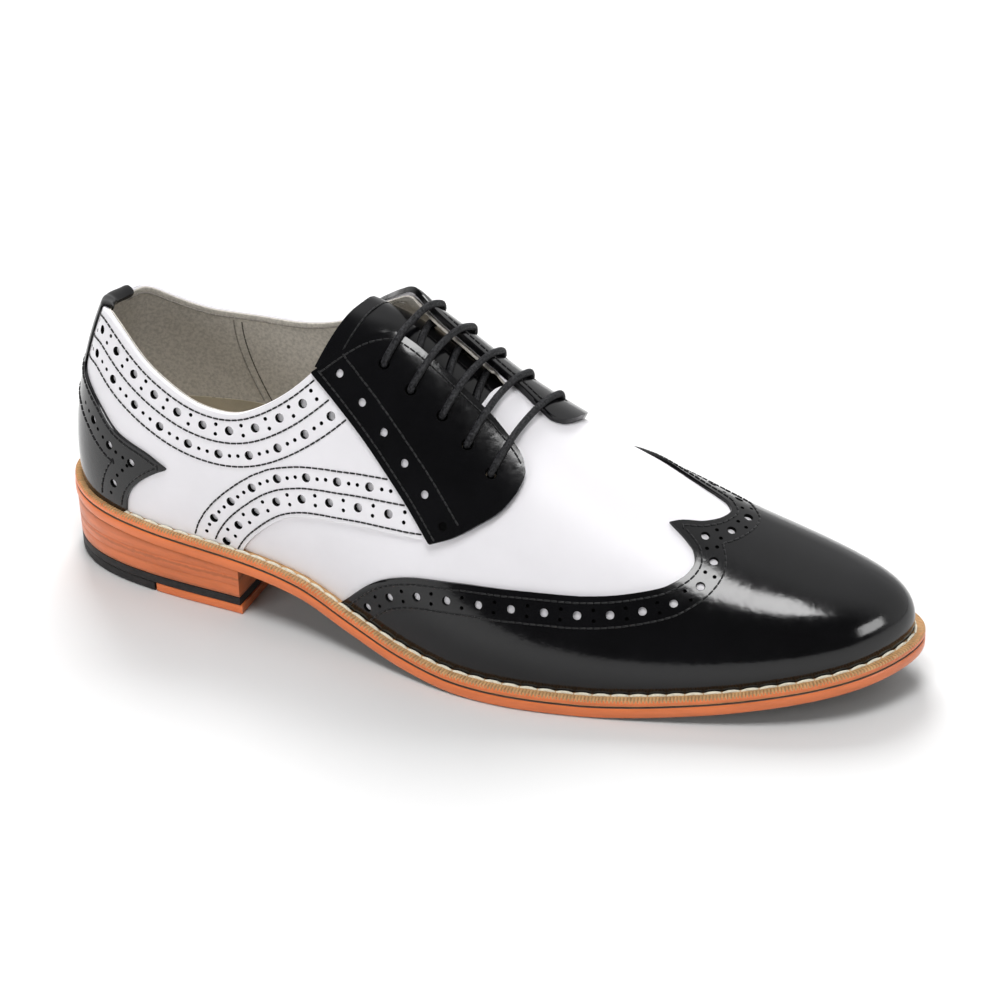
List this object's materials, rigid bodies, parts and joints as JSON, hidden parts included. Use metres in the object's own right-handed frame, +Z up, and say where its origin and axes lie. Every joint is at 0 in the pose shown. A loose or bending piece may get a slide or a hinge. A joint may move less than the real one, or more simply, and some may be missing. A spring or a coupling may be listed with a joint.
{
  "type": "wingtip shoe",
  "caption": "Right wingtip derby shoe in black and white leather, with a hollow lasted upper, laced throat, welted leather sole and stacked heel.",
  "frame": {"origin": "on the floor, under the centre of the shoe's box", "axes": "+X from the heel to the toe, +Y to the medial side of this right shoe, +Z up"},
  "size_m": [0.3008, 0.1066, 0.1115],
  "materials": {
    "white_leather": "smooth, satin",
    "black_leather": "polished, glossy",
    "orange_leather": "burnished edge, satin",
    "welt_leather": "ribbed, matte",
    "stacked_leather": "stacked layers, satin",
    "black_rubber": "matte",
    "lining_leather": "unfinished, matte",
    "lace_cord": "waxed round braid"
  },
  "bodies": {
    "root": {"heel_rubber": "black_rubber", "heel_tip": "orange_leather", "heel_stack": "stacked_leather", "outsole": "orange_leather", "welt": "welt_leather", "insole": "lining_leather", "upper": "white_leather", "quarter_lateral": "white_leather", "quarter_medial": "white_leather", "toe_wing": "black_leather", "heel_counter": "black_leather", "back_strap": "black_leather", "facing_lateral": "black_leather", "facing_medial": "black_leather", "tongue": "black_leather", "lace_bar_1": "lace_cord", "lace_bar_2": "lace_cord", "lace_bar_3": "lace_cord", "lace_bar_4": "lace_cord", "lace_bar_5": "lace_cord"}
  },
  "joints": []
}
